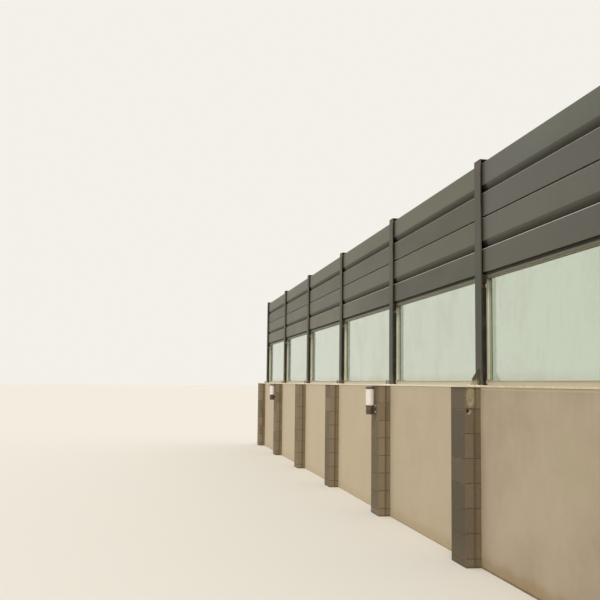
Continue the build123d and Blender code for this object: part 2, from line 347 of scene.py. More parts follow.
def post_paint():
    """Satin grey paint, chalked in upright streaks, with dust and a little rust at the foot, and painted
    shade on its sides high up.
    """
    f = Finish("post_paint")
    z = f.along("Z")
    streaks = f.cloud(0.012, (1, 1, 26), detail=3, seed=51)
    clouds = f.cloud(0.25, detail=4, seed=52)
    fine = f.cloud(0.003, detail=1, seed=53)
    sideways = f.facing("X") * f.facing("X")
    # Painted shade on the faces that look along X, above the foot of the upper panels
    painted_shade_upper_sides = f.rise(sideways, 0.3, 0.6) * f.rise(z, UPPER_PANEL - 0.010, UPPER_PANEL + 0.160)
    chalk = f.rise(z, POST_TOP - 0.166, POST_TOP - 0.016) * f.rise(clouds, 0.3, 0.6)
    stripped = f.rise(z + 0.12 * (streaks - 0.5), POST_TOP - 0.071, POST_TOP - 0.041)
    dust = f.rise(z + 0.10 * clouds, PLATE_TOP + 0.194, PLATE_TOP + 0.094)
    rust = f.rise(f.cloud(0.014, detail=4, rough=0.7, seed=54), 0.58, 0.66)
    rust = rust * f.rise(z, PLATE_TOP + 0.094, PLATE_TOP + 0.019)
    gusset = f.rise(f.along("Y"), POST_FRONT - 0.001, POST_FRONT - 0.005)
    mortar_edge = z + 0.03 * (f.cloud(0.02, detail=3, seed=56) - 0.5)
    splashed = gusset * f.rise(mortar_edge, PLATE_TOP + 0.046, PLATE_TOP + 0.030)
    colour = f.layers(
        f.mix(f.rise(clouds, 0.35, 0.65), (0.059, 0.059, 0.042), (0.076, 0.074, 0.054)),
        (0.30 * f.rise(streaks, 0.52, 0.74), (0.108, 0.104, 0.082)),
        (0.45 * f.rise(z, FRAME_TOP - 0.116, FRAME_TOP + 0.234), (0.116, 0.109, 0.091)),
        (0.65 * painted_shade_upper_sides, (0.022, 0.019, 0.014)),
        (0.35 * chalk, (0.15, 0.14, 0.105)),
        (0.80 * stripped, (0.135, 0.096, 0.082)),
        (0.70 * f.rise(z, POST_TOP - 0.010, POST_TOP), (0.035, 0.028, 0.022)),
        (0.50 * f.rise(f.facing("Z"), 0.3, 0.9), (0.26, 0.225, 0.165)),
        (0.55 * dust, (0.165, 0.138, 0.098)),
        (0.85 * rust, (0.135, 0.052, 0.020)),
        (0.9 * splashed, (0.52, 0.44, 0.29)),
    )
    relief = f.relief(0.6 * f.cloud(0.02, detail=3, seed=55) + 0.25 * fine + rust, 0.0007)
    return f.done(f.coat(colour, 0.46 + 0.22 * clouds + 0.2 * rust, relief, Specular_IOR_Level=0.33))


def cassette_paint():
    """Grey coated sheet, with rain streaks and dust on what faces up, a painted highlight on the bends of the
    lips, and painted shade on what faces down and in the corners beside the posts.
    """
    f = Finish("cassette_paint")
    x, z, upwards = f.along("X"), f.along("Z"), f.facing("Z")
    clouds = f.cloud(0.75, (1.4, 1, 0.5), detail=4, rough=0.55, seed=61)
    warm = f.cloud(1.1, detail=3, seed=62)
    streaks = f.cloud(0.02, (1, 1, 20), detail=3, seed=63)
    orange_peel = f.cloud(0.0035, detail=1, seed=64)
    olive = f.cloud(1.6, (1.6, 1, 0.5), detail=2, seed=66)

    # The flats of the panels from the bottom up, and the bays from the near end on
    lower_flat = f.rise(z, LOWER_LIP + 0.021, LOWER_LIP - 0.009)
    upper_flat = f.rise(z, UPPER_LIP + 0.019, UPPER_LIP - 0.011) * f.rise(z, UPPER_PANEL - 0.010, UPPER_PANEL)
    top_flat = f.rise(z, UPPER_FLAT - 0.025, UPPER_FLAT + 0.035)
    later_bays = f.beyond(2, 0.1)
    second_bay = later_bays * f.rise(x, post_x(3) - 0.1, post_x(3) + 0.1)
    third_bay_on = f.rise(x, post_x(3) - 0.1, post_x(3) - 0.3)
    far = f.rise(x, post_x(3) + 0.2, post_x(4) - 0.6) * lower_flat
    glare = f.rise(z, UPPER_FLAT - 0.065, UPPER_FLAT + 0.175) * f.rise(x, post_x(2) + 0.5, post_x(2) + 1.4)
    # Painted highlight on the bends that face up, stronger on the lower panel
    lips = (0.92 - 0.42 * f.rise(z, UPPER_PANEL + 0.010, UPPER_PANEL + 0.060)) * f.rise(upwards, 0.06, 0.55)
    colour = f.layers(
        f.mix(f.rise(clouds, 0.32, 0.68), (0.100, 0.098, 0.079), (0.120, 0.116, 0.094)),
        (0.55 * f.rise(warm, 0.45, 0.68), (0.116, 0.107, 0.094)),
        (0.22 * f.rise(streaks, 0.52, 0.76), (0.15, 0.146, 0.12)),
        (0.18 * f.rise(streaks, 0.46, 0.28), (0.075, 0.072, 0.056)),
        ((0.32 + 0.38 * later_bays) * (1.35 * lower_flat + 0.9 * upper_flat), (0.050, 0.048, 0.036)),
        (0.38 * glare, (0.182, 0.194, 0.150)),
        (0.20 * f.rise(z, UPPER_FLAT - 0.055, UPPER_FLAT + 0.005), (0.104, 0.119, 0.080)),
        (0.34 * later_bays, (0.056, 0.053, 0.030)),
        (0.22 * (second_bay * top_flat), (0.215, 0.225, 0.150)),
        (0.42 * (second_bay * f.most(lower_flat, 0.5 * upper_flat)), (0.040, 0.040, 0.026)),
        (0.44 * far, (0.19, 0.175, 0.120)),
        (0.24 * (third_bay_on * top_flat), (0.165, 0.19, 0.110)),
        (0.30 * f.rise(olive, 0.46, 0.62), (0.102, 0.108, 0.062)),
        (lips, (0.67, 0.68, 0.63)),
        (0.85 * f.rise(upwards, 0.60, 0.92), (0.26, 0.25, 0.20)),
    )
    colour = f.mix(later_bays, colour, (1.0, 1.0, 0.87), blend="MULTIPLY")

    # Painted shade under the rolls, but not on a panel's foot, and painted shadow in the corners beside the
    # posts
    under = 0.40 * f.rise(upwards, -0.005, -0.10) + 0.20 * f.rise(upwards, -0.15, -0.50)
    upper_foot = f.rise(z, UPPER_PANEL - 0.006, UPPER_PANEL - 0.002)
    upper_foot = upper_foot * f.rise(z, UPPER_PANEL + 0.016, UPPER_PANEL + 0.012)
    under = under * (f.rise(z, LOWER_PANEL + 0.012, LOWER_PANEL + 0.018) - upper_foot)
    past_post = f.math("FLOORED_MODULO", x, BAY)
    corner = f.rise(past_post, 0.26, 0.12) * f.rise(upwards, -0.02, -0.16)
    dents = f.cloud(0.42, (1.8, 1, 1), detail=2, seed=65)
    relief = f.relief(dents + 0.02 * orange_peel, 0.004)
    paint_coat = f.coat(colour, 0.40 + 0.16 * clouds, relief, Specular_IOR_Level=0.45)
    painted_shade_colour = f.mix(corner, (0.024, 0.023, 0.014), (0.006, 0.005, 0.004))
    painted_shade_coat = f.coat(painted_shade_colour, 0.85, relief, Specular_IOR_Level=0.08)
    return f.done(f.either(f.most(under, 0.92 * corner), paint_coat, painted_shade_coat))


def frame_aluminium():
    """Cream powder coat with dirt in its corners, painted shade under the panels and down the tops of the
    stiles, and painted light on the head's underside and on the frame behind the panes.
    """
    f = Finish("frame_aluminium")
    z = f.along("Z")
    clouds = f.cloud(0.35, (1.5, 1, 1), detail=4, seed=71)
    streaks = f.cloud(0.010, (1, 1, 22), detail=3, seed=72)
    grit = f.cloud(0.006, detail=3, rough=0.65, seed=73)
    foot = f.rise(z + 0.05 * clouds, FRAME_BOTTOM + 0.09, FRAME_BOTTOM + 0.045)
    sill = f.rise(z, SIGHT_BOTTOM - 0.020, SIGHT_BOTTOM)
    sill = sill * f.rise(z, SIGHT_BOTTOM + 0.017, SIGHT_BOTTOM + 0.001)
    # Painted light on the frame behind the panes, near the head
    painted_light_behind_pane = f.rise(f.along("Y"), GLASS_HALF - 0.001, GLASS_HALF + 0.002)
    painted_light_behind_pane = painted_light_behind_pane * f.rise(z, SIGHT_TOP - 0.002, SIGHT_TOP - 0.022)
    head_depth = f.rise(z, SIGHT_TOP + 0.002, FRAME_TOP - 0.004)
    ledge = f.rise(f.facing("Z"), -0.5, -0.9)
    # The head: painted shade darkening towards the panels, painted light on the rail's underside, and painted
    # shade on the bead's underside
    head = f.layers(
        f.mix(head_depth, (0.232, 0.224, 0.138), (0.040, 0.036, 0.022)),
        (ledge * f.rise(z, SIGHT_TOP + 0.008, SIGHT_TOP + 0.014), (0.84, 0.81, 0.56)),
        (0.9 * (ledge * f.rise(z, SIGHT_TOP + 0.004, SIGHT_TOP + 0.001)), (0.094, 0.082, 0.052)),
    )
    colour = f.layers(
        f.mix(f.rise(clouds, 0.35, 0.65), (0.61, 0.60, 0.47), (0.73, 0.715, 0.58)),
        (0.30 * f.rise(streaks, 0.52, 0.74), (0.42, 0.40, 0.29)),
        (0.75 * foot, (0.485, 0.405, 0.275)),
        (0.75 * sill, (0.20, 0.18, 0.12)),
        (0.8 * painted_light_behind_pane, (0.92, 0.89, 0.74)),
        # Painted shade down the tops of the stiles, under the panels
        (0.60 * f.rise(z, SIGHT_TOP - 0.222, SIGHT_TOP - 0.062), (0.21, 0.201, 0.145)),
        (0.97 * f.rise(z, SIGHT_TOP - 0.037, SIGHT_TOP - 0.003), head),
        (0.5 * f.rise(grit, 0.60, 0.72), (0.24, 0.20, 0.13)),
    )
    return f.done(f.coat(colour, 0.36 + 0.2 * clouds, f.relief(grit, 0.0004)))


def pane_glass():
    """Clear, slightly green pane under a thin film of dust that thickens towards its foot."""
    f = Finish("pane_glass")
    film = f.cloud(0.5, (1, 1, 1.4), detail=5, rough=0.62, seed=81)
    runs = f.cloud(0.02, (1, 1, 30), detail=3, seed=82)
    foot = f.rise(f.along("Z"), SIGHT_BOTTOM + 0.10, SIGHT_BOTTOM + 0.005)
    dust = 0.03 + 0.06 * f.rise(film, 0.42, 0.70) + 0.05 * f.rise(runs, 0.55, 0.75) + 0.16 * foot * film
    clear = f.coat((0.60, 0.685, 0.565), 0.015, Transmission_Weight=1.0, IOR=1.5)
    dusty = f.coat(f.mix(film, (0.45, 0.43, 0.34), (0.56, 0.54, 0.44)), 0.8)
    return f.done(f.either(dust, clear, dusty))


def glazing_rubber():
    f = Finish("glazing_rubber")
    fine = f.cloud(0.004, detail=2, seed=91)
    dusty = f.rise(f.cloud(0.08, detail=3, seed=92), 0.45, 0.7)
    colour = f.mix(dusty, (0.027, 0.026, 0.016), (0.050, 0.047, 0.029))
    return f.done(f.coat(colour, 0.68 + 0.15 * fine, f.relief(fine, 0.0003), Specular_IOR_Level=0.3))


def glazing_silicone():
    """Pale sealant between the panes and their beads, dirty in places."""
    f = Finish("glazing_silicone")
    dirty = f.rise(f.cloud(0.06, detail=3, seed=96), 0.45, 0.7)
    colour = f.mix(dirty, (0.60, 0.58, 0.46), (0.40, 0.375, 0.28))
    return f.done(f.coat(colour, 0.55, f.relief(f.cloud(0.008, detail=2, seed=97), 0.0003)))


def galvanised_steel():
    """Zinc with its spangle, dulled by dust."""
    f = Finish("galvanised_steel")
    blots = f.cloud(0.02, detail=3, seed=102)
    dust = f.rise(blots, 0.45, 0.68)
    spangled = f.mix(0.30, (0.40, 0.375, 0.315), f.cells(0.004, seed=101), blend="MULTIPLY")
    colour = f.mix(0.45 * dust, spangled, (0.30, 0.26, 0.19))
    return f.done(f.coat(colour, 0.38 + 0.3 * blots, f.relief(blots, 0.0003), Metallic=0.85 - 0.5 * dust))


def bright_screw():
    """Pale plated steel, dusty."""
    f = Finish("bright_screw")
    blots = f.cloud(0.01, detail=2, seed=106)
    colour = f.mix(f.rise(blots, 0.4, 0.65), (0.66, 0.61, 0.50), (0.46, 0.41, 0.32))
    return f.done(f.coat(colour, 0.34 + 0.2 * blots, f.relief(blots, 0.0002), Metallic=0.15))


def lamp_metal():
    """Dark brown textured powder coat, faded where it faces up."""
    f = Finish("lamp_metal")
    fine = f.cloud(0.0022, detail=2, seed=111)
    blots = f.cloud(0.05, detail=3, seed=112)
    colour = f.layers(
        f.mix(f.rise(blots, 0.38, 0.66), (0.080, 0.055, 0.037), (0.130, 0.094, 0.068)),
        (0.45 * f.rise(f.facing("Z"), 0.4, 0.9), (0.20, 0.165, 0.12)),
    )
    return f.done(f.coat(colour, 0.42 + 0.2 * blots, f.relief(fine + blots, 0.0005)))


def lamp_opal():
    """Opal diffuser, a little yellowed, with dust near its foot and rim, and a faint painted glow in place of
    daylight through the opal.
    """
    f = Finish("lamp_opal")
    low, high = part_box("lamp_diffusers")
    z = f.along("Z")
    blots = f.cloud(0.05, detail=3, seed=121)
    dust = f.most(f.rise(z, low.z + 0.022, low.z + 0.004), f.rise(z, high.z - 0.030, high.z - 0.010))
    colour = f.layers(
        f.mix(f.rise(blots, 0.35, 0.68), (0.82, 0.75, 0.70), (0.88, 0.82, 0.77)),
        (0.28 * dust, (0.48, 0.40, 0.30)),
    )
    depth = {"Subsurface_Weight": 0.15, "Subsurface_Radius": (0.01, 0.008, 0.006), "Coat_Weight": 0.4}
    # A painted glow; the lamp itself is not lit
    glow = {"Emission_Color": (1.0, 0.92, 0.86), "Emission_Strength": 0.10}
    return f.done(f.coat(colour, 0.30 + 0.15 * blots, f.relief(blots, 0.0004), **depth, **glow))


tile_face = pier_tile()
joint_mortar = tile_joint()
patch_mortar = bare_mortar()
coping_face = coping_mortar()
post_coat = post_paint()
cassette_coat = cassette_paint()
rubber = glazing_rubber()
sealant = glazing_silicone()
zinc = galvanised_steel()
plated = bright_screw()
lamp_coat = lamp_metal()

FINISH_OF = {
    "wall_bay": wall_render(),
    "pier": tile_face,
    "coping": coping_face,
    "post": post_coat,
    "post_caps": post_coat,
    "glazing_frame": frame_aluminium(),
    "glass_panes": pane_glass(),
    "acoustic_panel_lower": cassette_coat,
    "acoustic_panel_upper": cassette_coat,
    "lamp_brackets": lamp_coat,
    "lamp_bases": lamp_coat,
    "lamp_diffusers": lamp_opal(),
    "lamp_caps": lamp_coat,
}
for node_name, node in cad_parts.items():
    family = node_name if node_name in FINISH_OF else node_name.rsplit("_", 1)[0]
    node.data.materials.clear()
    node.data.materials.append(FINISH_OF[family])


# Small parts: what they share
NUT_EDGE = 0.0016


def fresh(bm, before):
    """What was added to the mesh since `before`."""
    return [vert for vert in bm.verts if vert not in before]


def edges_of(verts):
    return list({edge for vert in verts for edge in vert.link_edges})


def faces_of(verts):
    return list({face for vert in verts for face in vert.link_faces})


def block(bm, low, high, edge=0.0, material=0):
    """A rectangular block between two corners, with eased edges."""
    low, high = Vector(map(min, low, high)), Vector(map(max, low, high))
    before = set(bm.verts)
    place = Matrix.Translation((low + high) / 2) @ Matrix.Diagonal((*(high - low), 1))
    bmesh.ops.create_cube(bm, size=1.0, matrix=place)
    if edge:
        rims = edges_of(fresh(bm, before))
        bmesh.ops.bevel(bm, geom=rims, offset=edge, segments=1, profile=0.5, affect="EDGES", material=-1)
    verts = fresh(bm, before)
    for face in faces_of(verts):
        face.material_index = material
    return verts


def beside(bm, x, side, across, through, heights, edge):
    """A block beside a post: its ends as distances from the post's middle, then as places along Y and Z."""
    (near, far), (front, back), (low, high) = across, through, heights
    block(bm, (x + side * near, front, low), (x + side * far, back, high), edge=edge)


def turned(bm, profile, place, sides):
    """A turned part: (radius, height) pairs spun about the Z axis, then put in place."""
    before = set(bm.verts)
    verts = [bm.verts.new((radius, 0, height)) for radius, height in profile]
    edges = [bm.edges.new(pair) for pair in zip(verts, verts[1:])]
    turn = {"cent": (0, 0, 0), "axis": (0, 0, 1), "angle": 2 * math.pi, "use_merge": True}
    bmesh.ops.spin(bm, geom=verts + edges, steps=sides, **turn)
    bmesh.ops.remove_doubles(bm, verts=fresh(bm, before), dist=1e-6)
    made = fresh(bm, before)
    faces = faces_of(made)
    bmesh.ops.recalc_face_normals(bm, faces=faces)
    bmesh.ops.transform(bm, matrix=place, verts=made)
    for face in faces:
        face.smooth = True


def hexagon_nut(bm, place, across, height):
    """A nut, `across` wide from flat to flat, that stands on the XY plane of its place."""
    before = set(bm.verts)
    radius = across / 2 / math.cos(math.pi / 6)
    middle = place @ Matrix.Translation((0, 0, height / 2))
    ends = {"cap_ends": True, "segments": 6, "radius1": radius, "radius2": radius, "depth": height}
    bmesh.ops.create_cone(bm, matrix=middle, **ends)
    rims = edges_of(fresh(bm, before))
    bmesh.ops.bevel(bm, geom=rims, offset=NUT_EDGE, segments=2, profile=0.5, affect="EDGES", material=-1)


def new_object(name, bm, finishes):
    """An object of that mesh, with its place in the mesh."""
    mesh = bpy.data.meshes.new(name)
    bm.to_mesh(mesh)
    bm.free()
    for finish in finishes:
        mesh.materials.append(finish)
    piece = bpy.data.objects.new(name, mesh)
    bpy.context.scene.collection.objects.link(piece)
    return piece


def keep(name, bm, finishes):
    """The finished piece, riding on the barrier."""
    piece = new_object(name, bm, finishes)
    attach(piece, "root")
    return piece


# Tiles. The side of a pier has a whole tile at the corner and a cut one against the wall.
JOINT = 0.007
JOINT_DEPTH = 0.0018
UPRIGHT_PROUD = 0.0004      # how far the upright joints stand out over the level ones
TILE_EDGE = 0.0012
UNEVEN = 0.0008             # how far a tile may stand back
CORNER_TILE = 0.074
SPLIT = PIER_HALF_Y - CORNER_TILE
CORE_X = PIER_HALF_X - TILE
CORE_Y = PIER_HALF_Y - TILE
JOINT_X = PIER_HALF_X - JOINT_DEPTH
JOINT_Y = PIER_HALF_Y - JOINT_DEPTH
FRONT_GAP = 0.001           # between a front tile's ends and the corner tiles
LOWEST_COURSE = 0.03
COURSE_SHIFT = 0.004        # how far the joints of one quarter of a pier may be off
FRONT_DROP = 0.006          # how much lower the joints on the front are
FREE_SIDE = {1: 1, POSTS: -1}       # the side of each end pier, along X, where no wall joins it

# By pier: its top joint, how far apart its joints are, and how much paler or darker its tiles are
FIRST_JOINT = {1: 1.352, 2: 1.360, 3: 1.343, 4: 1.357, 5: 1.349, 6: 1.354, 7: 1.346}
SIDE_PITCH = {1: 0.2110, 2: 0.2137, 3: 0.2085, 4: 0.2100, 5: 0.2120, 6: 0.2095, 7: 0.2105}
FRONT_PITCH = {1: 0.2140, 2: 0.2165, 3: 0.2110, 4: 0.2085, 5: 0.2140, 6: 0.2120, 7: 0.2085}
SIDE_LIFT = {2: 0.25, 3: 1.1, 4: 1.3, 5: 1.2, 6: 1.0, 7: 0.8}
CUT_LIFT = {3: 1.0, 4: 1.4, 5: 1.3, 6: 1.0, 7: 0.8}
FRONT_LIFT = {2: -0.9, 3: 0.5, 4: 0.5, 5: 1.1, 6: 0.9, 7: 0.7}
SIDE_DIRT, UPRIGHT_DIRT, FRONT_DIRT = 0.6, 0.8, 0.1

# The quarter of a pier, by its number and its sides along X and Y, that lost its top tile
LOST_CORNER = (2, 1, -1)
BESIDE_LOST_LIFT = 0.6
PATCH_EDGE = -0.178         # where the mortar that the lost tile left bare meets the next tile
PATCH_OUTER = -0.2545       # the pale mortar's outer and inner edges, grey outside them
PATCH_INNER = PATCH_EDGE - 0.004
PATCH_FOOT = 1.364
PATCH_TAPER = 1.43          # the mortar narrows below this height
PATCH_RIM = 0.014           # how far in from its edges the mortar gets its full thickness
PATCH_FADE = 0.012          # and its pale tone
PATCH_THIN = 0.0016         # thickness at the edges
PATCH_BODY = 0.0050         # what is added further in
PATCH_ROUGH = 0.0010

# The chip in the tile below: middle along Y and Z, then half sizes
CHIP_FIELD = (-0.237, 1.334, 0.033, 0.0215)
CHIP = (-0.239, 1.336, 0.021, 0.025)
CHIP_CORE = (-0.248, 1.343, 0.013, 0.016)
CHIP_DEPTH = 0.0045
CHIP_CORE_DEPTH = 0.004
CHIP_CUTS = 35
CHIPPED_TONE = 0.55
RIM_MARK, BREAK_MARK, CORE_MARK = 0.36, 0.26, 1.0       # what the tile's finish reads as broken


def courses(first, pitch):
    """Lower and upper edge of each course of tiles, from the top down, and the joints between."""
    joints = [first]
    while joints[-1] - pitch > LOWEST_COURSE:
        joints.append(joints[-1] - pitch)
    edges = [WALL_TOP + JOINT / 2, *joints, -JOINT / 2]
    return [(low + JOINT / 2, high - JOINT / 2) for high, low in zip(edges, edges[1:])], joints


def within(spot, oval):
    """0 in the middle of an upright oval and 1 along its edge."""
    y, z, half_y, half_z = oval
    return math.hypot((spot.y - y) / half_y, (spot.z - z) / half_z)


def chip(bm, verts, tone, broken):
    """Breaks a piece out of the top of a tile, near its outer corner."""
    face = max(vert.co.x for vert in verts)
    low, high = (Vector(map(pick, zip(*(vert.co for vert in verts)))) for pick in (min, max))
    height = high.z - low.z
    for vert in verts:
        vert[tone] = CHIPPED_TONE
    bmesh.ops.subdivide_edges(bm, edges=edges_of(verts), cuts=CHIP_CUTS, use_grid_fill=True)
    for vert in bm.verts:
        if all(least - 1e-6 < here < most + 1e-6 for least, here, most in zip(low, vert.co, high)):
            vert.co.z = high.z - height * ((high.z - vert.co.z) / height) ** 2      # rows closer near the top
    y, z, half_y, half_z = CHIP_FIELD
    for vert in bm.verts:
        if abs(vert.co.x - face) > 1e-5 or abs(vert.co.y - y) > half_y or abs(vert.co.z - z) > half_z:
            continue
        wobble = 0.35 * noise.noise(Vector((0, vert.co.y * 90, vert.co.z * 90)))
        reach, core = within(vert.co, CHIP) + wobble, within(vert.co, CHIP_CORE) + wobble
        if reach < 1:
            vert.co.x -= CHIP_DEPTH * min(1.0, 2.2 * (1 - reach))
            vert[broken] = RIM_MARK if reach > 0.62 else BREAK_MARK
        if core < 1:
            vert.co.x -= CHIP_CORE_DEPTH
            vert[broken] = CORE_MARK


def bare_patch(bm, x, tone):
    """Mortar left on the masonry where the top corner tile of the second pier fell off."""
    before = set(bm.verts)
    low, high = Vector((x, -PIER_HALF_Y + TILE_EDGE, PATCH_FOOT)), Vector((x, PATCH_EDGE, WALL_TOP))
    turn = Matrix.Rotation(math.pi / 2, 4, "Y") @ Matrix.Diagonal((high.z - low.z, high.y - low.y, 1, 1))
    place = Matrix.Translation((low + high) / 2) @ turn
    bmesh.ops.create_grid(bm, x_segments=52, y_segments=26, size=0.5, matrix=place)
    verts = fresh(bm, before)
    for vert in verts:
        y, z = vert.co.y, vert.co.z
        taper = max(0.0, PATCH_TAPER - z)
        inside = min(y - PATCH_OUTER - 0.35 * taper, PATCH_INNER - y - 0.30 * taper, z - low.z)
        rough = noise.noise(Vector((3.1, y * 70, z * 70)))
        rough += 0.4 * noise.noise(Vector((9.2, y * 190, z * 190)))
        vert[tone] = min(1.0, max(0.0, 0.35 + inside / PATCH_FADE + 0.35 * rough))
        if not vert.is_boundary:
            body = PATCH_BODY * min(1.0, max(0.0, inside / PATCH_RIM))
            vert.co.x += PATCH_THIN + body + PATCH_ROUGH * rough
    for face in faces_of(verts):
        face.material_index = 2
        face.smooth = True


def tiled_pier(number, chance):
    """The masonry of one pier with the tiles and joints on its four sides."""
    x = post_x(number)
    bm = bmesh.new()
    tone = bm.verts.layers.float.new("tone")
    broken = bm.verts.layers.float.new("broken")
    free_side = FREE_SIDE.get(number)

    def tile(low, high, lift=0.0):
        verts = block(bm, low, high, edge=TILE_EDGE)
        shade = chance.random() + lift
        for vert in verts:
            vert[tone] = shade

    def joint(low, high, dirt):
        for vert in block(bm, low, high, material=1):
            vert[tone] = dirt

    def quarter(toward_x, toward_y):
        """One end of one side of the pier: its corner tiles, cut tiles and joints."""
        here = (number, toward_x, toward_y)
        shift = 0 if here == LOST_CORNER else chance.uniform(-COURSE_SHIFT, COURSE_SHIFT)
        rows, joints = courses(FIRST_JOINT[number] + shift, SIDE_PITCH[number])
        out, back = x + toward_x * PIER_HALF_X, x + toward_x * CORE_X
        tile_end, joint_end = (JOINT / 2, 0.0) if toward_x == free_side else (WALL_HALF, WALL_HALF)
        for row, (low, high) in enumerate(rows):
            face = out - toward_x * chance.uniform(0.0, UNEVEN)
            corner = ((back, toward_y * SPLIT, low), (face, toward_y * PIER_HALF_Y, high))
            missing = here == LOST_CORNER and row == 0
            chipped = here == LOST_CORNER and row == 1
            if chipped:
                chip(bm, block(bm, *corner), tone, broken)
            elif not missing:
                tile(*corner, SIDE_LIFT.get(number, 0.0))
            cut_face = out - toward_x * chance.uniform(0.0, UNEVEN)
            cut_edge = PATCH_EDGE + 0.002 if missing else toward_y * (SPLIT - JOINT)
            lift = BESIDE_LOST_LIFT if missing else CUT_LIFT.get(number, 0.0)
            tile((back, toward_y * tile_end, low), (cut_face, cut_edge, high), lift)
        face = x + toward_x * JOINT_X
        for z in joints:
            low, high = z - JOINT / 2, z + JOINT / 2
            joint((back, toward_y * joint_end, low), (face, toward_y * JOINT_Y, high), SIDE_DIRT)
        upright = face + toward_x * UPRIGHT_PROUD
        top = joints[0] if here == LOST_CORNER else WALL_TOP
        joint((back, toward_y * (SPLIT - JOINT), 0), (upright, toward_y * SPLIT, top), UPRIGHT_DIRT)

    def front(toward_y):
        """The front or the back of the pier."""
        rows, joints = courses(FIRST_JOINT[number] - FRONT_DROP, FRONT_PITCH[number])
        end = CORE_X - FRONT_GAP
        for low, high in rows:
            face = toward_y * (PIER_HALF_Y - chance.uniform(0.0, UNEVEN))
            tile((x - end, toward_y * CORE_Y, low), (x + end, face, high), FRONT_LIFT.get(number, 0.0))
        for z in joints:
            low, high = z - JOINT / 2, z + JOINT / 2
            joint((x - CORE_X, toward_y * CORE_Y, low), (x + CORE_X, toward_y * JOINT_Y, high), FRONT_DIRT)

    block(bm, (x - CORE_X, -CORE_Y, 0), (x + CORE_X, CORE_Y, WALL_TOP), material=1)
    reach = {side: CORE_X if side == free_side else PIER_HALF_X for side in (-1, 1)}
    block(bm, (x - reach[-1], -WALL_HALF, 0), (x + reach[1], WALL_HALF, WALL_TOP), material=1)
    for toward_y in (-1, 1):
        for toward_x in (-1, 1):
            quarter(toward_x, toward_y)
        front(toward_y)
    if free_side:
        middle, face = x + free_side * CORE_X, x + free_side * JOINT_X
        joint((middle, -JOINT / 2, 0), (face, JOINT / 2, WALL_TOP), SIDE_DIRT)
    if number == LOST_CORNER[0]:
        bare_patch(bm, x + CORE_X, tone)
    piece = keep(f"tiled_pier_{number}", bm, (tile_face, joint_mortar, patch_mortar))
    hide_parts(f"pier_{number}")


# Anchor bolts: washer, nut and a threaded stud at each corner of a base plate
ANCHOR_X = 0.050
ANCHOR_Y = 0.112
ANCHOR_WASHER = [(0.0108, 0), (0.0182, 0), (0.0185, 0.0006), (0.0185, 0.0026), (0.0180, 0.003),
                 (0.0108, 0.003), (0.0108, 0)]
WASHER_HEIGHT = 0.003
NUT_ACROSS = 0.030
NUT_HEIGHT = 0.016
STUD_RADIUS = 0.0100
STUD_ROOT = STUD_RADIUS * 0.9       # at the bottom of the thread
STUD_TIP = STUD_RADIUS * 0.72
STUD_TAPER = 0.001
STUD_FOOT = 0.018                   # a little below the nut's top
STUD_HEIGHTS = (0.022, 0.038)       # the shortest and the tallest, from their foot
STUD_LEAN = 0.03                    # either way, in radians
THREAD_PITCH = 0.0025


def stud(bm, place, height):
    """A threaded stud with a tapered end."""
    profile = [(0, 0), (STUD_ROOT, 0)]
    for turn in range(int(height / THREAD_PITCH)):
        profile += [(STUD_RADIUS, (turn + 0.5) * THREAD_PITCH), (STUD_ROOT, (turn + 1) * THREAD_PITCH)]
    top = height + STUD_TAPER
    turned(bm, [*profile, (STUD_TIP, top), (0, top)], place, 12)


def anchor_bolts(number, chance):
    bm = bmesh.new()
    for x in (-ANCHOR_X, ANCHOR_X):
        for y in (-ANCHOR_Y, ANCHOR_Y):
            lean = Matrix.Rotation(chance.uniform(-STUD_LEAN, STUD_LEAN), 4, "X")
            spin = Matrix.Rotation(chance.uniform(0, 1.0), 4, "Z")
            place = Matrix.Translation((post_x(number) + x, y, PLATE_TOP)) @ spin
            turned(bm, ANCHOR_WASHER, place, 20)
            hexagon_nut(bm, place @ Matrix.Translation((0, 0, WASHER_HEIGHT)), NUT_ACROSS, NUT_HEIGHT)
            stud(bm, place @ lean @ Matrix.Translation((0, 0, STUD_FOOT)), chance.uniform(*STUD_HEIGHTS))
    keep(f"anchor_bolts_{number}", bm, (zinc,))


# Wedge of sealant between each pane and its bead, on both sides
GASKET = 0.0022
GASKET_RISE = 0.0014        # how far the wedge comes out along the bead
GASKET_SLOPE = 0.0009       # how much less it comes out on the pane


def gasket_ring(bm, x, toward):
    """The wedge round one side of a pane, as high as the clear opening."""
    half_height = (SIGHT_TOP - SIGHT_BOTTOM) / 2
    middle = Vector((x, toward * GLASS_HALF, SIGHT_BOTTOM + half_height))
    shape = Matrix.Rotation(math.pi / 2, 4, "X") @ Matrix.Diagonal((SIGHT_HALF, half_height, 1, 1))
    place = Matrix.Translation(middle) @ shape
    made = bmesh.ops.create_grid(bm, x_segments=1, y_segments=1, size=1.0, matrix=place)
    face = made["verts"][0].link_faces[0]
    ring = bmesh.ops.inset_individual(bm, faces=[face], thickness=GASKET)["faces"]
    bmesh.ops.delete(bm, geom=[face], context="FACES_ONLY")
    top = bmesh.ops.extrude_face_region(bm, geom=ring)["geom"]
    verts = [part for part in top if isinstance(part, bmesh.types.BMVert)]
    bmesh.ops.translate(bm, verts=verts, vec=(0, toward * GASKET_RISE, 0))
    inner = [vert for vert in verts if abs(vert.co.x - x) < SIGHT_HALF - GASKET / 2]
    bmesh.ops.translate(bm, verts=inner, vec=(0, -toward * GASKET_SLOPE, 0))


def gaskets(number):
    bm = bmesh.new()
    for toward in (-1, 1):
        gasket_ring(bm, bay_x(number), toward)
    bmesh.ops.recalc_face_normals(bm, faces=bm.faces[:])
    keep(f"glazing_gaskets_{number}", bm, (sealant,))


